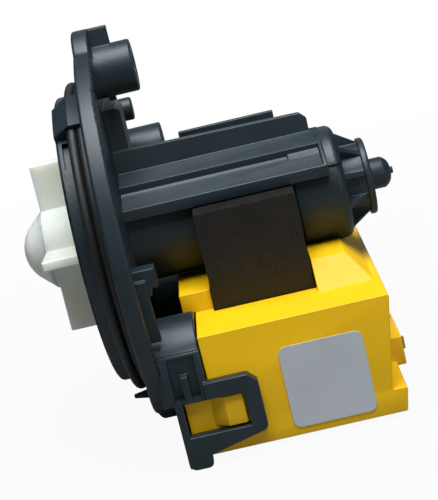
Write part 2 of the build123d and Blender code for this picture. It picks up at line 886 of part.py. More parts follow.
def snap_wedge():
    """Ramp that the latch loop snaps over, label side."""
    end = latch_window_end - wedge_gap
    profile = Polyline([(wedge_foot, -cover_half, 0), (wedge_ridge, -cover_half - wedge_high, 0),
                        (end, -cover_half - wedge_high, 0), (end, -cover_half + snug, 0),
                        (wedge_foot, -cover_half + snug, 0)], close=True)
    low = latch_window_low + wedge_gap
    high = latch_window_top - wedge_gap
    return Pos(0, 0, low) * extrude(make_face(profile), amount=high - low, dir=(0, 0, 1))


def coil_cover():
    """Yellow cover: hollow box, open below, with saddles, wedges and shroud."""
    end = cup_boss_end + slip
    shell = plate_y(cover_outline(0, cover_bottom), -cover_half, cover_half)
    upright = [e for e in shell.edges() if e.bounding_box().size.Y > cover_half]
    shell = fillet(upright, cover_round)
    shell = shell - cup_clearance(0, cover_front - cut_over, end)
    inner = cover_half - cover_wall
    hollow = plate_y(cover_outline(cover_wall, cover_bottom - cut_over), -inner, inner)
    hollow = hollow - cup_clearance(cover_wall, cover_front - cut_over, end + cover_wall)
    raised = saddles() - cup_clearance(0, cover_front - cut_over, end)
    body = shell - hollow + raised + (connector_shroud() - hollow)
    wedge = snap_wedge()
    body = body + wedge + mirrored(wedge) - socket() - screw_tip_pockets()
    for y in blade_places():
        body = body - slab(cover_rear - cover_slant - 2 * cover_wall - socket_depth, shroud_rear,
                           y - blade_thick / 2 - snug, y + blade_thick / 2 + snug,
                           blade_z() - blade_high / 2 - snug, blade_z() + blade_high / 2 + snug)
    for side in (1, -1):
        y0, y1 = sorted((side * (leg_inner - slip), side * (stack_half + slip)))
        body = body - slab(stack_front - slip, stack_rear + slip, y0, y1, cover_top - 2 * cover_wall,
                           rear_saddle_top + cut_over)
    return body


def coil_cover_base():
    """Plate that closes the cover from below."""
    front = cover_front + cover_wall + snug
    rear = cover_rear - ledge_slant - cover_wall - snug
    half = cover_half - cover_wall - snug
    return slab(front, rear, -half, half, cover_bottom, cover_bottom + base_thick)


def terminal_blade(y, proud):
    """One contact blade in the shroud, standing out of it by a length."""
    rear = shroud_rear + proud
    return slab(rear - blade_length, rear, y - blade_thick / 2, y + blade_thick / 2,
                blade_z() - blade_high / 2, blade_z() + blade_high / 2)


def wire_run(points):
    """Round wire through a row of corners."""
    body = None
    for start, end in zip(points, points[1:]):
        run = Vector(*end) - Vector(*start)
        leg = extrude(Plane(origin=start, z_dir=run) * Circle(lead_radius), amount=run.length)
        body = leg if body is None else body + leg + Pos(*start) * Sphere(lead_radius)
    return body


def terminal_lead(start_y, blade_y):
    """Wire from the rear of one winding down to its blade."""
    winding_rear = stack_rear + winding_reach + snug
    x = winding_rear + bobbin_wall + 2 * lead_radius
    corners = [(winding_rear, start_y, lead_high), (x, start_y, lead_high)]
    if start_y != blade_y:
        corners.append((x, blade_y, lead_high))
    corners.append((x, blade_y, blade_z() + blade_high / 2 + snug))
    return wire_run(corners)


def rating_label():
    """Thin label with rounded corners on the side of the cover."""
    face = Plane.XZ.offset(cover_half) * Pos(label_front + label_length / 2, label_top - label_high / 2)
    return extrude(face * RectangleRounded(label_length, label_high, label_corner), amount=label_thick)


near_bobbin = bobbin()
near_winding = winding()
near_blade_y, far_blade_y = blade_places()

parts = {
    "pump_housing": pump_housing(),
    "flange_seal": flange_seal(),
    "chamber_cover": chamber_cover(),
    "cover_seal": cover_seal(),
    "shaft_seal": shaft_seal(),
    "front_bearing": bearing(front_bearing_front),
    "front_bearing_boot": bearing_boot(front_boot_front),
    "rear_bearing": bearing(rear_bearing_front),
    "rear_bearing_boot": bearing_boot(rear_boot_front),
    "rotor_shaft": shaft(),
    "rotor_carrier": rotor_carrier(),
    "rotor_magnet": rotor_magnet(),
    "front_thrust_washer": thrust_washer(carrier_front - snug - washer_thick),
    "rear_thrust_washer": thrust_washer(carrier_rear + snug),
    "drive_dog": drive_dog(),
    "clutch_damper": clutch_damper(),
    "impeller": impeller(),
    "impeller_cap": impeller_cap(),
    "stator_core": stator_core(),
    "core_rivets": core_rivets(),
    "coil_bobbin_near": near_bobbin,
    "coil_bobbin_far": mirrored(near_bobbin),
    "winding_near": near_winding,
    "winding_far": mirrored(near_winding),
    "thermal_cutout": thermal_cutout(),
    "coil_link": coil_link(),
    "coil_cover": coil_cover(),
    "coil_cover_base": coil_cover_base(),
    "terminal_blade_near": terminal_blade(near_blade_y, blade_proud),
    "terminal_blade_far": terminal_blade(far_blade_y, 0),
    "terminal_lead_near": terminal_lead(near_blade_y, near_blade_y),
    "terminal_lead_far": terminal_lead(far_lead_y, far_blade_y),
    "rating_label": rating_label(),
}

for name, solid in parts.items():
    export_step(solid, "parts/" + name + ".step")
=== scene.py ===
"""Dresses the washer drain pump and sets its floor, light and camera."""

import logging
import math
from collections.abc import Callable
from dataclasses import dataclass, field
from enum import Enum

import bmesh
import bpy
from mathutils import Matrix, Vector
from mathutils.bvhtree import BVHTree


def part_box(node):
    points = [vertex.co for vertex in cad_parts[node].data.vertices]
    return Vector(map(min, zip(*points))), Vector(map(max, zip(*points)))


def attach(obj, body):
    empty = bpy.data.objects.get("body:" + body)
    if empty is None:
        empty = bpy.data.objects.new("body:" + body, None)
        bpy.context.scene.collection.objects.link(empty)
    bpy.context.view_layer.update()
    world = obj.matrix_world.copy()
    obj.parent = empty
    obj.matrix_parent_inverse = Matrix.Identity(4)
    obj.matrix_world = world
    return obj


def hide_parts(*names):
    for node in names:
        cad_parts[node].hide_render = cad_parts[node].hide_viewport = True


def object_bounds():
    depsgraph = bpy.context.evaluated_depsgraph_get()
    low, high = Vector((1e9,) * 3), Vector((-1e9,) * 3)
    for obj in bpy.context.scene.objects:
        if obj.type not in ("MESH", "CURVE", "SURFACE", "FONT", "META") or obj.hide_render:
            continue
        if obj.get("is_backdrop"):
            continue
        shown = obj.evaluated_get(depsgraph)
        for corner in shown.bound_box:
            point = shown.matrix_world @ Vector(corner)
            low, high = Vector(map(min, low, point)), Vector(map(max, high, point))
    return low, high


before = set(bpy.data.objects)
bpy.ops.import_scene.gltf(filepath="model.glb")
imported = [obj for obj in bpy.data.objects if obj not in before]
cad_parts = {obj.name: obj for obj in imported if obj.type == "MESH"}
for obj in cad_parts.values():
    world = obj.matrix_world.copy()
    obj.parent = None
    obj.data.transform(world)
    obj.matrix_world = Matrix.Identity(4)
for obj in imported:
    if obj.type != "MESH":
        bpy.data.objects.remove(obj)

MM = 0.001
# Mesh points closer than this, in metres, are one point.
WELD = 2e-6
# Faces that meet at less than this angle are one flat face.
FLAT = math.radians(0.6)
# Edges below this angle are shaded smooth.
SMOOTH_ANGLE = math.radians(27.0)
# A broken edge may leave the original skin by this share of its width.
STRAY = 0.45
BEVEL_STEPS = 3

# How the fine patterns are drawn out, in waves per metre off their main direction, and their detail.
SHEET_STRETCH = (4.0, 40.0)
SHEET_DETAIL = 1.0
LATHE_STRETCH = 60.0
WIRE_STRETCH = 20.0
LINE_DETAIL = 2.0
GRAIN_DETAIL = 3.0
GRAIN_HARSHNESS = 0.6
# The slow change of tone over a surface: its detail, and the range that is spread to full contrast.
CLOUD_DETAIL = 4.0
CLOUD_HARSHNESS = 0.55
CLOUD_RANGE = (0.35, 0.68)
# How far red, green and blue light travel in milky plastic, and the unit of it in millimetres.
MILK_REACH = (1.0, 0.9, 0.7)
MILK_DEPTH_MM = 5.0

WHITE = (1.0, 1.0, 1.0, 1.0)

log = logging.getLogger("drain_pump")


class Body(Enum):
    """The bodies that pieces ride on."""

    HOUSING = "housing"
    ROTOR = "rotor"
    IMPELLER = "impeller"


class Slot(Enum):
    """The material slots."""

    HOUSING = "housing_plastic"
    RUBBER = "seal_rubber"
    IMPELLER = "impeller_plastic"
    CORE = "core_steel"
    RIVET = "rivet_steel"
    COVER = "cover_plastic"
    LABEL = "label_film"
    BLADE = "blade_brass"
    BEARING = "bearing_bronze"
    SHAFT = "shaft_steel"
    MAGNET = "magnet_ferrite"
    INNER = "inner_plastic"
    WASHER = "washer_plastic"
    WIRE = "copper_wire"
    CUTOUT = "cutout_body"


class Pattern(Enum):
    """How a surface was made, which decides its fine pattern."""

    MOULDED = "moulded"
    STACKED = "stacked"
    TURNED = "turned"
    SINTERED = "sintered"
    WOUND = "wound"


def linear(code: str) -> tuple[float, float, float, float]:
    """Turns an sRGB hex colour to linear.

    Args:
        code: Six hex digits after a hash sign.

    Returns:
        Linear red, green and blue, and full alpha.
    """
    values = [int(code[i : i + 2], 16) / 255 for i in (1, 3, 5)]
    red, green, blue = (v / 12.92 if v <= 0.04045 else ((v + 0.055) / 1.055) ** 2.4 for v in values)
    return (red, green, blue, 1.0)


def add_node(
    tree: bpy.types.NodeTree,
    kind: str,
    links: dict[str, bpy.types.NodeSocket] | None = None,
    values: dict[str, object] | None = None,
    **settings: object,
) -> bpy.types.Node:
    """Adds a node with its settings, values and links.

    Args:
        tree: The node tree to add to.
        kind: The node's type name.
        links: Sockets that feed the inputs of these names.
        values: Default values for the inputs of these names.
        **settings: Properties of the node itself.

    Returns:
        The new node.
    """
    node = tree.nodes.new(kind)
    for key, value in settings.items():
        setattr(node, key, value)
    for key, value in (values or {}).items():
        node.inputs[key].default_value = value
    for key, socket in (links or {}).items():
        tree.links.new(socket, node.inputs[key])
    return node


@dataclass(frozen=True)
class Finish:
    """One surface finish, from what the material is and how it was made."""

    name: str
    base: str
    fleck: str
    roughness: float
    pattern: Pattern
    pitch_mm: float
    relief_mm: float
    cloud_mm: float = 9.0
    swing: float = 0.08
    metallic: float = 0.0
    ior: float = 1.5
    coat: float = 0.0
    subsurface: float = 0.0

    def material(self) -> bpy.types.Material:
        """Gives the finish's material, made on first use."""
        found = bpy.data.materials.get(self.name)
        return found if found else self._build()

    def _fine(self, tree: bpy.types.NodeTree, place: bpy.types.NodeSocket) -> bpy.types.NodeSocket:
        """Adds the fine pattern and gives its value.

        Args:
            tree: The material's node tree.
            place: Object coordinates.

        Returns:
            The pattern's value, from 0 to 1.
        """
        scale = 1.0 / (self.pitch_mm * MM)
        if self.pattern is Pattern.SINTERED:
            pores = add_node(tree, "ShaderNodeTexVoronoi", {"Vector": place}, {"Scale": scale})
            return pores.outputs["Distance"]
        if self.pattern is Pattern.MOULDED:
            grain = add_node(
                tree,
                "ShaderNodeTexNoise",
                {"Vector": place},
                {"Scale": scale, "Detail": GRAIN_DETAIL, "Roughness": GRAIN_HARSHNESS},
            )
            return grain.outputs["Fac"]
        stretch, detail = {
            Pattern.STACKED: ((scale, *SHEET_STRETCH), SHEET_DETAIL),
            Pattern.TURNED: ((scale, LATHE_STRETCH, LATHE_STRETCH), LINE_DETAIL),
            Pattern.WOUND: ((WIRE_STRETCH, WIRE_STRETCH, scale), LINE_DETAIL),
        }[self.pattern]
        drawn = add_node(tree, "ShaderNodeMapping", {"Vector": place}, {"Scale": stretch})
        lines = add_node(
            tree,
            "ShaderNodeTexNoise",
            {"Vector": drawn.outputs["Vector"]},
            {"Scale": 1.0, "Detail": detail},
        )
        return lines.outputs["Fac"]

    def _build(self) -> bpy.types.Material:
        """Makes the material's nodes.

        Returns:
            The material, with a slow change of tone under its fine pattern.
        """
        made = bpy.data.materials.new(self.name)
        made.use_nodes = True
        tree = made.node_tree
        shader = tree.nodes["Principled BSDF"]
        place = add_node(tree, "ShaderNodeTexCoord").outputs["Object"]
        fine = self._fine(tree, place)
        cloud = add_node(
            tree,
            "ShaderNodeTexNoise",
            {"Vector": place},
            {"Scale": 1.0 / (self.cloud_mm * MM), "Detail": CLOUD_DETAIL, "Roughness": CLOUD_HARSHNESS},
        )
        soft = add_node(
            tree,
            "ShaderNodeMapRange",
            {"Value": cloud.outputs["Fac"]},
            {"From Min": CLOUD_RANGE[0], "From Max": CLOUD_RANGE[1]},
            clamp=True,
        )
        blend = add_node(
            tree, "ShaderNodeMath", {0: fine, 1: soft.outputs["Result"]}, operation="MULTIPLY"
        )
        tint = add_node(tree, "ShaderNodeMix", {"Factor": blend.outputs["Value"]}, data_type="RGBA")
        for socket in tint.inputs:
            if socket.type == "RGBA":
                socket.default_value = linear(self.base if socket.name == "A" else self.fleck)
        colour = next(o for o in tint.outputs if o.type == "RGBA")
        gloss = add_node(
            tree,
            "ShaderNodeMapRange",
            {"Value": blend.outputs["Value"]},
            {"To Min": self.roughness - self.swing, "To Max": self.roughness + self.swing},
            clamp=True,
        )
        bump = add_node(
            tree,
            "ShaderNodeBump",
            {"Height": fine},
            {"Strength": 1.0, "Distance": self.relief_mm * MM},
        )
        tree.links.new(colour, shader.inputs["Base Color"])
        tree.links.new(gloss.outputs["Result"], shader.inputs["Roughness"])
        tree.links.new(bump.outputs["Normal"], shader.inputs["Normal"])
        shader.inputs["Metallic"].default_value = self.metallic
        shader.inputs["IOR"].default_value = self.ior
        shader.inputs["Coat Weight"].default_value = self.coat
        if self.subsurface:
            shader.inputs["Subsurface Weight"].default_value = self.subsurface
            shader.inputs["Subsurface Scale"].default_value = MILK_DEPTH_MM * MM
            shader.inputs["Subsurface Radius"].default_value = MILK_REACH
        return made


# Polypropylene filled with talc, moulded in a lightly blasted tool: dull charcoal with a blue cast.
CHARCOAL = Finish(
    name="charcoal_polypropylene",
    base="#122025",
    fleck="#1C2C32",
    roughness=0.5,
    pattern=Pattern.MOULDED,
    pitch_mm=0.5,
    relief_mm=0.03,
    cloud_mm=14.0,
    ior=1.48,
)
# EPDM rubber, pressed: black, soft sheen, a trace of mould dust.
RUBBER = Finish(
    name="epdm_rubber",
    base="#101010",
    fleck="#1C1B1A",
    roughness=0.6,
    pattern=Pattern.MOULDED,
    pitch_mm=0.6,
    relief_mm=0.02,
    cloud_mm=5.0,
)
# Natural polypropylene, unfilled: milky, light passes through the blades.
MILKY = Finish(
    name="natural_polypropylene",
    base="#EAEADA",
    fleck="#DEDDC9",
    roughness=0.34,
    pattern=Pattern.MOULDED,
    pitch_mm=3.0,
    relief_mm=0.02,
    cloud_mm=16.0,
    subsurface=0.8,
)
# Silicon steel sheets in dark varnish: near black, each sheet a shade apart.
VARNISHED_STEEL = Finish(
    name="varnished_laminations",
    base="#0D0A07",
    fleck="#1B1712",
    roughness=0.55,
    pattern=Pattern.STACKED,
    pitch_mm=0.5,
    relief_mm=0.03,
    cloud_mm=7.0,
)
# Plain steel rivets, headed cold: dull grey.
RIVET_STEEL = Finish(
    name="dull_steel",
    base="#8C8C88",
    fleck="#6E6E6B",
    roughness=0.38,
    pattern=Pattern.TURNED,
    pitch_mm=0.4,
    relief_mm=0.01,
    cloud_mm=3.0,
    metallic=1.0,
)
# PBT polyester dyed through: strong yellow, satin.
YELLOW = Finish(
    name="yellow_polyester",
    base="#ECB800",
    fleck="#E2AA00",
    roughness=0.55,
    pattern=Pattern.MOULDED,
    pitch_mm=0.7,
    relief_mm=0.015,
    cloud_mm=20.0,
    ior=1.4,
)
# Metallised polyester film: silver grey, even.
SILVER_FILM = Finish(
    name="silver_polyester_film",
    base="#BEC1C3",
    fleck="#B1B4B7",
    roughness=0.36,
    pattern=Pattern.MOULDED,
    pitch_mm=1.2,
    relief_mm=0.008,
    cloud_mm=12.0,
)
# Cartridge brass strip, stamped.
BRASS = Finish(
    name="stamped_brass",
    base="#C99A4B",
    fleck="#A87A35",
    roughness=0.3,
    pattern=Pattern.TURNED,
    pitch_mm=0.3,
    relief_mm=0.006,
    cloud_mm=3.0,
    metallic=1.0,
)
# Sintered bronze, soaked in oil: brown, pored.
BRONZE = Finish(
    name="sintered_bronze",
    base="#8F6335",
    fleck="#6E4A25",
    roughness=0.45,
    pattern=Pattern.SINTERED,
    pitch_mm=0.35,
    relief_mm=0.03,
    cloud_mm=2.0,
    metallic=1.0,
)
# Ground stainless steel.
GROUND_STEEL = Finish(
    name="ground_stainless",
    base="#C9C9C6",
    fleck="#B4B4B1",
    roughness=0.2,
    pattern=Pattern.TURNED,
    pitch_mm=0.15,
    relief_mm=0.003,
    cloud_mm=3.0,
    metallic=1.0,
)
# Sintered ferrite, ground round: dark grey ceramic.
FERRITE = Finish(
    name="ground_ferrite",
    base="#3A3A3C",
    fleck="#2C2C2E",
    roughness=0.5,
    pattern=Pattern.TURNED,
    pitch_mm=0.3,
    relief_mm=0.008,
    cloud_mm=4.0,
)
# Glass-filled nylon, natural: cream grey.
NYLON = Finish(
    name="natural_nylon",
    base="#9B988D",
    fleck="#87847A",
    roughness=0.48,
    pattern=Pattern.MOULDED,
    pitch_mm=0.6,
    relief_mm=0.02,
    cloud_mm=6.0,
)
# Acetal washers: off-white, smooth.
ACETAL = Finish(
    name="acetal",
    base="#C9C6BC",
    fleck="#BAB7AD",
    roughness=0.34,
    pattern=Pattern.MOULDED,
    pitch_mm=0.8,
    relief_mm=0.01,
    cloud_mm=4.0,
)
# Copper wire in polyester enamel: red brown with a hard gloss.
ENAMELLED_COPPER = Finish(
    name="enamelled_copper",
    base="#A9542A",
    fleck="#7E3516",
    roughness=0.3,
    pattern=Pattern.WOUND,
    pitch_mm=0.45,
    relief_mm=0.05,
    cloud_mm=3.0,
    metallic=1.0,
    coat=0.6,
)
# Phenolic body of the cut-out: black, glossy.
PHENOLIC = Finish(
    name="phenolic",
    base="#202022",
    fleck="#2E2E30",
    roughness=0.24,
    pattern=Pattern.MOULDED,
    pitch_mm=0.8,
    relief_mm=0.01,
    cloud_mm=3.0,
)


def new_piece(name: str, shape: bmesh.types.BMesh, finish: Finish) -> bpy.types.Object:
    """Makes an object of a finished bmesh, at the origin.

    Args:
        name: The piece's name.
        shape: The mesh, which is freed.
        finish: The finish that dresses it.

    Returns:
        The new object.
    """
    for face in shape.faces:
        face.smooth = True
    for edge in shape.edges:
        edge.smooth = edge.calc_face_angle(0.0) < SMOOTH_ANGLE
    mesh = bpy.data.meshes.new(name)
    shape.to_mesh(mesh)
    shape.free()
    mesh.materials.append(finish.material())
    piece = bpy.data.objects.new(name, mesh)
    bpy.context.scene.collection.objects.link(piece)
    return piece


def place(piece: bpy.types.Object, body: Body, slot: Slot, *stands_for: str) -> bpy.types.Object:
    """Puts a piece on its body and hides the nodes it stands for.

    Args:
        piece: The finished piece.
        body: The body it rides on.
        slot: The slot for its finish; not used.
        *stands_for: CAD nodes that it replaces.

    Returns:
        The same piece.
    """
    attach(piece, body.value)
    if stands_for:
        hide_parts(*stands_for)
    log.info("%s rides on %s, %d faces", piece.name, body.value, len(piece.data.polygons))
    return piece


def dress(node: str, finish: Finish) -> None:
    """Gives a CAD node its finish.

    Args:
        node: The node's name.
        finish: Its finish.
    """
    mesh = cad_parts[node].data
    mesh.materials.clear()
    mesh.materials.append(finish.material())
    log.info("%s dressed as %s", node, finish.name)


def softened(
    node: str,
    edge_mm: float,
    sharpest: float = 38.0,
    crisp: Callable[[Vector], bool] = lambda spot: False,
) -> bmesh.types.BMesh:
    """Copies a CAD node as one closed mesh and breaks its sharp edges.

    Args:
        node: The node's name.
        edge_mm: How far each edge is drawn back.
        sharpest: Angle in degrees past which an edge is broken.
        crisp: Tells whether an edge with its middle at a spot stays as it is.

    Returns:
        The new mesh.
    """
    shape = bmesh.new()
    shape.from_mesh(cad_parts[node].data)
    bmesh.ops.remove_doubles(shape, verts=shape.verts, dist=WELD)
    skin = BVHTree.FromBMesh(shape)
    bmesh.ops.dissolve_limit(
        shape, angle_limit=FLAT, use_dissolve_boundaries=False, verts=shape.verts, edges=shape.edges
    )
    limit = math.radians(sharpest)
    sharp = [
        e
        for e in shape.edges
        if len(e.link_faces) == 2
        and e.calc_face_angle(0.0) > limit
        and not crisp((e.verts[0].co + e.verts[1].co) / 2)
    ]
    bmesh.ops.bevel(
        shape,
        geom=sharp,
        offset=edge_mm * MM,
        offset_type="OFFSET",
        segments=BEVEL_STEPS,
        profile=0.5,
        affect="EDGES",
        clamp_overlap=False,
        material=-1,
    )
    low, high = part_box(node)
    for vert in shape.verts:
        spot, _, _, away = skin.find_nearest(vert.co)
        if away > STRAY * edge_mm * MM:
            vert.co = spot
        vert.co = [min(max(value, least), most) for value, least, most in zip(vert.co, low, high)]
    bmesh.ops.remove_doubles(shape, verts=shape.verts, dist=WELD)
    return shape


@dataclass
class Housing:
    """Charcoal moulding and the rubber ring on its spigot.

    The two crisp places are the spigot's key and slot, ahead of key_reach_mm between the key_angles, and
    the stepped root of each latch loop, up to root_rear_mm along, past root_side_mm beside the axis and
    between root_low_mm and root_high_mm below it.
    """

    edge_mm: float = 0.22
    key_reach_mm: float = 0.3
    key_angles: tuple[float, float] = (104.0, 141.0)
    root_rear_mm: float = 11.6
    root_side_mm: float = 33.0
    root_high_mm: float = 29.0
    root_low_mm: float = 31.0
    spigot_mm: float = 33.45
    groove_mm: float = 0.9
    lip_steps: int = 10
    seal_steps: int = 180

    def _is_crisp(self, spot: Vector) -> bool:
        """Tells whether a spot lies at the spigot's key or slot, or at the root of a latch loop.

        Args:
            spot: The spot, in metres.

        Returns:
            True ahead of the flange between the two angles, and in the loops' stepped corners.
        """
        angle = math.degrees(math.atan2(spot.z, spot.y))
        at_key = spot.x < self.key_reach_mm * MM and self.key_angles[0] < angle < self.key_angles[1]
        beside = spot.x < self.root_rear_mm * MM and abs(spot.y) > self.root_side_mm * MM
        return at_key or (beside and -self.root_low_mm * MM < spot.z < -self.root_high_mm * MM)

    def _seal(self) -> bmesh.types.BMesh:
        """Spins the seal ring.

        Returns:
            The ring, with two rounded lips and a groove between them.
        """
        low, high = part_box("flange_seal")
        root = self.spigot_mm * MM
        outer = high.y
        groove = self.groove_mm * MM
        width = (high.x - low.x) / 2
        outline = [(high.x, root), (high.x, outer - groove)]
        for middle in (high.x - width / 2, low.x + width / 2):
            for step in range(self.lip_steps + 1):
                turn = math.pi * step / self.lip_steps
                along = middle + width / 2 * math.cos(turn)
                outline.append((along, outer - groove + groove * math.sin(turn)))
        outline += [(low.x, outer - groove), (low.x, root)]
        shape = bmesh.new()
        verts = [shape.verts.new((x, radius, 0.0)) for x, radius in outline]
        edges = [shape.edges.new(pair) for pair in zip(verts, verts[1:] + verts[:1])]
        bmesh.ops.spin(
            shape,
            geom=verts + edges,
            cent=(0.0, 0.0, 0.0),
            axis=(1.0, 0.0, 0.0),
            angle=math.tau,
            steps=self.seal_steps,
            use_merge=True,
        )
        bmesh.ops.remove_doubles(shape, verts=shape.verts, dist=WELD)
        bmesh.ops.recalc_face_normals(shape, faces=shape.faces)
        return shape

    def build(self) -> None:
        """Makes and dresses the housing's pieces."""
        moulding = softened("pump_housing", self.edge_mm, crisp=self._is_crisp)
        place(
            new_piece("housing_moulding", moulding, CHARCOAL),
            Body.HOUSING,
            Slot.HOUSING,
            "pump_housing",
        )
        place(new_piece("seal_ring", self._seal(), RUBBER), Body.HOUSING, Slot.RUBBER, "flange_seal")
        dress("chamber_cover", CHARCOAL)
        for node in ("cover_seal", "shaft_seal", "front_bearing_boot", "rear_bearing_boot"):
            dress(node, RUBBER)
        for node in ("front_bearing", "rear_bearing"):
            dress(node, BRONZE)


@dataclass
class Marks:
    """Shallow round marks that ejector pins leave on mouldings."""

    radius_mm: float = 1.5
    proud_mm: float = 0.08
    sunk_mm: float = 0.3
    sides: int = 24
    rim_share: float = 0.72
    recess_mm: float = 2.4
    ring_mm: float = 27.5
    flange_turns: tuple[float, ...] = (20.0, 130.0, 150.0, 165.0)
    wall_mm: float = 35.5
    box_places: tuple[tuple[float, float], ...] = (
        (30.0, -21.5),
        (48.5, -21.5),
        (30.0, -38.0),
        (46.5, -38.0),
    )

    def mark(self, name: str, spot_mm: Vector, out: Vector, finish: Finish) -> bpy.types.Object:
        """Makes one mark with a raised rim and a dished middle.

        Args:
            name: The piece's name.
            spot_mm: Where the mark's middle meets the surface.
            out: Which way the surface faces.
            finish: The finish of the moulding.

        Returns:
            The new piece.
        """
        shape = bmesh.new()
        bmesh.ops.create_circle(shape, cap_ends=True, segments=self.sides, radius=self.radius_mm * MM)
        rim = bmesh.ops.extrude_face_region(shape, geom=shape.faces[:])["geom"]
        lid = [v for v in rim if isinstance(v, bmesh.types.BMVert)]
        bmesh.ops.translate(shape, verts=lid, vec=(0.0, 0.0, (self.sunk_mm + self.proud_mm) * MM))
        top = [f for f in rim if isinstance(f, bmesh.types.BMFace)]
        bmesh.ops.inset_region(
            shape,
            faces=top,
            thickness=self.radius_mm * (1 - self.rim_share) * MM,
            depth=-self.proud_mm * self.rim_share * MM,
        )
        bmesh.ops.recalc_face_normals(shape, faces=shape.faces)
        turn = out.to_track_quat("Z", "Y").to_matrix()
        bmesh.ops.rotate(shape, verts=shape.verts, cent=(0.0, 0.0, 0.0), matrix=turn)
        low = spot_mm - out * self.sunk_mm
        bmesh.ops.translate(shape, verts=shape.verts, vec=low * MM)
        return new_piece(name, shape, finish)

    def build(self) -> None:
        """Sets the marks behind the flange and on the coil box's far side."""
        rear = Vector((1.0, 0.0, 0.0))
        for index, turn in enumerate(self.flange_turns):
            angle = math.radians(turn)
            around = Vector((0.0, math.cos(angle), math.sin(angle)))
            spot = Vector((self.recess_mm, 0.0, 0.0)) + around * self.ring_mm
            piece = self.mark(f"flange_ejector_mark_{index}", spot, rear, CHARCOAL)
            place(piece, Body.HOUSING, Slot.HOUSING)
        far_side = Vector((0.0, 1.0, 0.0))
        for index, (along, up) in enumerate(self.box_places):
            spot = Vector((along, self.wall_mm, up))
            piece = self.mark(f"box_ejector_mark_{index}", spot, far_side, YELLOW)
            place(piece, Body.HOUSING, Slot.COVER)


@dataclass
class Wheel:
    """Milky impeller with its cap and the rubber damper inside."""

    edge_mm: float = 0.25

    def build(self) -> None:
        """Makes and dresses the wheel's pieces."""
        place(
            new_piece("impeller_wheel", softened("impeller", self.edge_mm), MILKY),
            Body.IMPELLER,
            Slot.IMPELLER,
            "impeller",
        )
        dress("impeller_cap", MILKY)
        dress("clutch_damper", RUBBER)


@dataclass
class Rotor:
    """Shaft, magnet and the parts that turn with them."""

    def build(self) -> None:
        """Dresses the rotor's nodes."""
        dress("rotor_shaft", GROUND_STEEL)
        dress("rotor_magnet", FERRITE)
        for node in ("rotor_carrier", "drive_dog"):
            dress(node, NYLON)
        for node in ("front_thrust_washer", "rear_thrust_washer"):
            dress(node, ACETAL)


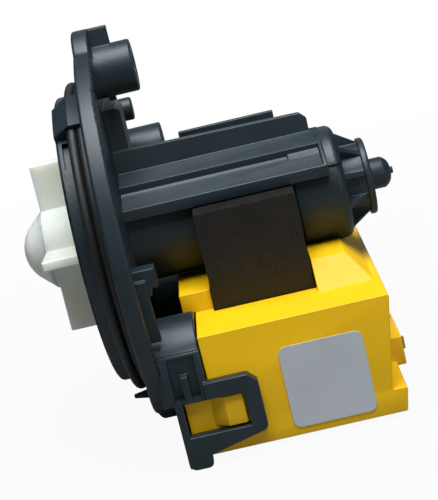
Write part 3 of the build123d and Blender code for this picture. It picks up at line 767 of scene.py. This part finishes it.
@dataclass
class Stator:
    """Laminated core, rivets, coil formers and windings."""

    sheet_mm: float = 0.5
    gap_mm: float = 0.07
    wire_mm: float = 0.5
    corner_mm: float = 2.4
    corner_steps: int = 16
    wire_sides: int = 8

    def _sheets(self) -> bmesh.types.BMesh:
        """Cuts one sheet's outline from the core and stacks it along the rotor axis.

        Returns:
            The sheets, with a fine gap between each two.
        """
        low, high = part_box("stator_core")
        shape = bmesh.new()
        shape.from_mesh(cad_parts["stator_core"].data)
        bmesh.ops.remove_doubles(shape, verts=shape.verts, dist=WELD)
        bmesh.ops.bisect_plane(
            shape,
            geom=shape.verts[:] + shape.edges[:] + shape.faces[:],
            dist=WELD,
            plane_co=((low.x + high.x) / 2, 0.0, 0.0),
            plane_no=(1.0, 0.0, 0.0),
            clear_inner=True,
            clear_outer=True,
        )
        bmesh.ops.triangle_fill(shape, use_beauty=True, use_dissolve=False, edges=shape.edges)
        bmesh.ops.dissolve_limit(shape, angle_limit=FLAT, verts=shape.verts, edges=shape.edges)
        bmesh.ops.translate(shape, vec=(low.x - (low.x + high.x) / 2, 0.0, 0.0), verts=shape.verts)
        count = round((high.x - low.x) / (self.sheet_mm * MM))
        pitch = (high.x - low.x) / count
        thick = pitch - self.gap_mm * MM
        swept = bmesh.ops.extrude_face_region(shape, geom=shape.faces[:], use_keep_orig=True)
        moved = [v for v in swept["geom"] if isinstance(v, bmesh.types.BMVert)]
        bmesh.ops.translate(shape, vec=(thick, 0.0, 0.0), verts=moved)
        bmesh.ops.recalc_face_normals(shape, faces=shape.faces)
        sheet = shape.verts[:] + shape.edges[:] + shape.faces[:]
        for index in range(1, count):
            copied = bmesh.ops.duplicate(shape, geom=sheet)["geom"]
            verts = [v for v in copied if isinstance(v, bmesh.types.BMVert)]
            bmesh.ops.translate(shape, vec=(pitch * index, 0.0, 0.0), verts=verts)
        return shape

    def _turns(self, node: str) -> bmesh.types.BMesh:
        """Winds the outer layer of turns in a winding's place.

        Args:
            node: The winding's node.

        Returns:
            The turns, one above the other.
        """
        low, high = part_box(node)
        wire = self.wire_mm / 2 * MM
        bend = self.corner_mm * MM
        middle = (low + high) / 2
        straight = Vector(((high.x - low.x) / 2 - bend, (high.y - low.y) / 2 - bend, 0.0))
        shape = bmesh.new()
        ring = bmesh.ops.create_circle(shape, segments=self.wire_sides, radius=wire)["verts"]
        upright = Matrix.Rotation(math.pi / 2, 3, "X")
        bmesh.ops.rotate(shape, verts=ring, cent=(0.0, 0.0, 0.0), matrix=upright)
        bmesh.ops.translate(shape, verts=ring, vec=(bend - wire, 0.0, 0.0))
        half_step = Matrix.Rotation(math.pi / self.corner_steps, 3, "Z")
        bmesh.ops.rotate(shape, verts=ring, cent=(0.0, 0.0, 0.0), matrix=half_step)
        bmesh.ops.spin(
            shape,
            geom=shape.verts[:] + shape.edges[:],
            cent=(0.0, 0.0, 0.0),
            axis=(0.0, 0.0, 1.0),
            angle=math.tau,
            steps=self.corner_steps,
            use_merge=True,
        )
        bmesh.ops.remove_doubles(shape, verts=shape.verts, dist=WELD)
        bmesh.ops.recalc_face_normals(shape, faces=shape.faces)
        for vert in shape.verts:
            vert.co.x += math.copysign(straight.x, vert.co.x)
            vert.co.y += math.copysign(straight.y, vert.co.y)
        count = int((high.z - low.z) / (2 * wire))
        pitch = (high.z - low.z - 2 * wire) / (count - 1)
        bmesh.ops.translate(shape, verts=shape.verts, vec=(middle.x, middle.y, low.z + wire))
        turn = shape.verts[:] + shape.edges[:] + shape.faces[:]
        for index in range(1, count):
            copied = bmesh.ops.duplicate(shape, geom=turn)["geom"]
            verts = [v for v in copied if isinstance(v, bmesh.types.BMVert)]
            bmesh.ops.translate(shape, verts=verts, vec=(0.0, 0.0, pitch * index))
        return shape

    def build(self) -> None:
        """Makes and dresses the stator's pieces."""
        stack = new_piece("lamination_stack", self._sheets(), VARNISHED_STEEL)
        place(stack, Body.HOUSING, Slot.CORE, "stator_core")
        dress("core_rivets", RIVET_STEEL)
        for node in ("coil_bobbin_near", "coil_bobbin_far"):
            dress(node, NYLON)
        for node in ("coil_link", "terminal_lead_near", "terminal_lead_far"):
            dress(node, ENAMELLED_COPPER)
        for node in ("winding_near", "winding_far"):
            turns = new_piece(f"{node}_turns", self._turns(node), ENAMELLED_COPPER)
            place(turns, Body.HOUSING, Slot.WIRE, node)
        dress("thermal_cutout", PHENOLIC)


@dataclass
class CoilBox:
    """Yellow coil cover with its base, terminals and bare label."""

    edge_mm: float = 0.22

    def build(self) -> None:
        """Makes and dresses the coil box's pieces."""
        place(
            new_piece("coil_box", softened("coil_cover", self.edge_mm), YELLOW),
            Body.HOUSING,
            Slot.COVER,
            "coil_cover",
        )
        dress("coil_cover_base", YELLOW)
        for node in ("terminal_blade_near", "terminal_blade_far"):
            dress(node, BRASS)
        dress("rating_label", SILVER_FILM)


@dataclass
class Studio:
    """Floor, light and camera."""

    target_mm: tuple[float, float, float] = (23.0, 0.0, -3.9)
    azimuth: float = 1.85
    elevation: float = 16.01
    roll: float = 13.58
    distance_mm: float = 339.2
    focal_px: float = 1462.9
    frame_px: float = 500.0
    film_mm: float = 36.0
    slide_mm: tuple[float, float] = (-0.83, -5.65)
    clip_start_m: float = 0.01
    floor_half: float = 0.9
    floor_cells: int = 8
    floor_shade: str = "#8A8A8A"
    shadow_reach: float = 0.35
    glow_near: float = 0.94
    dim_room: float = 0.07
    lamp_tint: str = "#F1F8FF"
    lights: list[tuple[str, tuple[float, float, float], float, float]] = field(
        default_factory=lambda: [
            ("overhead", (0.06, -0.13, 0.53), 0.40, 6.4),
            ("front_fill", (0.50, -0.58, 0.18), 0.35, 0.6),
            ("back_window", (0.05, 0.60, 0.14), 0.4, 0.3),
        ]
    )

    def _camera(self) -> None:
        """Places the camera at the photograph's angle."""
        side = math.radians(self.azimuth)
        rise = math.radians(self.elevation)
        lean = math.radians(self.roll)
        outward = math.cos(rise)
        back = Vector((math.sin(side) * outward, -math.cos(side) * outward, math.sin(rise)))
        level = Vector((math.cos(side), math.sin(side), 0.0))
        upright = back.cross(level)
        right = level * math.cos(lean) - upright * math.sin(lean)
        up = level * math.sin(lean) + upright * math.cos(lean)
        slide = right * self.slide_mm[0] + up * self.slide_mm[1]
        spot = Vector(self.target_mm) + back * self.distance_mm + slide
        data = bpy.data.cameras.new("photo_camera")
        data.lens = self.focal_px / self.frame_px * self.film_mm
        data.sensor_width = self.film_mm
        data.clip_start = self.clip_start_m
        camera = bpy.data.objects.new("photo_camera", data)
        facing = Matrix((right, up, back)).transposed().to_4x4()
        camera.matrix_world = Matrix.Translation(spot * MM) @ facing
        bpy.context.scene.collection.objects.link(camera)
        bpy.context.scene.camera = camera

    def _floor(self) -> None:
        """Lays the pale floor under the lowest point."""
        low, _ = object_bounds()
        shape = bmesh.new()
        cells = self.floor_cells
        bmesh.ops.create_grid(shape, x_segments=cells, y_segments=cells, size=self.floor_half)
        bmesh.ops.translate(shape, vec=(0.0, 0.0, low[2]), verts=shape.verts)
        mesh = bpy.data.meshes.new("studio_floor")
        shape.to_mesh(mesh)
        shape.free()
        made = bpy.data.materials.new("matt_paper")
        made.use_nodes = True
        tree = made.node_tree
        tree.nodes.clear()
        paper = add_node(tree, "ShaderNodeBsdfDiffuse", values={"Color": linear(self.floor_shade)})
        glow = add_node(tree, "ShaderNodeEmission", values={"Color": WHITE, "Strength": 1.0})
        seen = add_node(tree, "ShaderNodeLightPath")
        spot = add_node(tree, "ShaderNodeTexCoord").outputs["Object"]
        reach = add_node(tree, "ShaderNodeVectorMath", {0: spot}, operation="LENGTH")
        near = add_node(
            tree,
            "ShaderNodeMapRange",
            {"Value": reach.outputs["Value"]},
            {"From Min": 0.0, "From Max": self.shadow_reach, "To Min": self.glow_near, "To Max": 1.0},
            interpolation_type="SMOOTHSTEP",
        )
        share = add_node(
            tree,
            "ShaderNodeMath",
            {0: seen.outputs["Is Camera Ray"], 1: near.outputs["Result"]},
            operation="MULTIPLY",
        )
        both = add_node(
            tree,
            "ShaderNodeMixShader",
            {0: share.outputs["Value"], 1: paper.outputs["BSDF"], 2: glow.outputs["Emission"]},
        )
        add_node(tree, "ShaderNodeOutputMaterial", {"Surface": both.outputs["Shader"]})
        mesh.materials.append(made)
        floor = bpy.data.objects.new("studio_floor", mesh)
        bpy.context.scene.collection.objects.link(floor)
        floor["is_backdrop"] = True

    def _world(self) -> None:
        """Sets a dim white room that the camera, and rays that pass through clear parts, see as white.
        """
        world = bpy.data.worlds.new("white_room")
        world.use_nodes = True
        tree = world.node_tree
        tree.nodes.clear()
        seen = add_node(tree, "ShaderNodeLightPath")
        first = add_node(
            tree,
            "ShaderNodeMath",
            {0: seen.outputs["Is Camera Ray"], 1: seen.outputs["Is Transmission Ray"]},
            operation="MAXIMUM",
        )
        strength = add_node(
            tree,
            "ShaderNodeMapRange",
            {"Value": first.outputs["Value"]},
            {"To Min": self.dim_room, "To Max": 1.0},
            clamp=True,
        )
        sky = add_node(
            tree,
            "ShaderNodeBackground",
            {"Strength": strength.outputs["Result"]},
            {"Color": WHITE},
        )
        add_node(tree, "ShaderNodeOutputWorld", {"Surface": sky.outputs["Background"]})
        bpy.context.scene.world = world

    def _lamps(self) -> None:
        """Hangs the soft lamps, each aimed at the pump."""
        aim = Vector(self.target_mm) * MM
        for name, spot, size, power in self.lights:
            data = bpy.data.lights.new(name, "AREA")
            data.size = size
            data.energy = power
            data.color = linear(self.lamp_tint)[:3]
            lamp = bpy.data.objects.new(name, data)
            lamp.location = spot
            lamp.rotation_euler = (aim - Vector(spot)).to_track_quat("-Z", "Y").to_euler()
            bpy.context.scene.collection.objects.link(lamp)

    def build(self) -> None:
        """Makes the floor, light and camera."""
        self._camera()
        self._floor()
        self._world()
        self._lamps()
        bpy.context.scene.view_settings.view_transform = "Standard"


def main() -> None:
    """Builds every sub-assembly in order, and the studio."""
    logging.basicConfig(level=logging.INFO, format="%(name)s: %(message)s")
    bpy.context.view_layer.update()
    Studio().build()
    for part in (Housing(), Marks(), Wheel(), Rotor(), Stator(), CoilBox()):
        part.build()
        log.info("%s done", type(part).__name__)


if __name__ == "__main__":
    main()
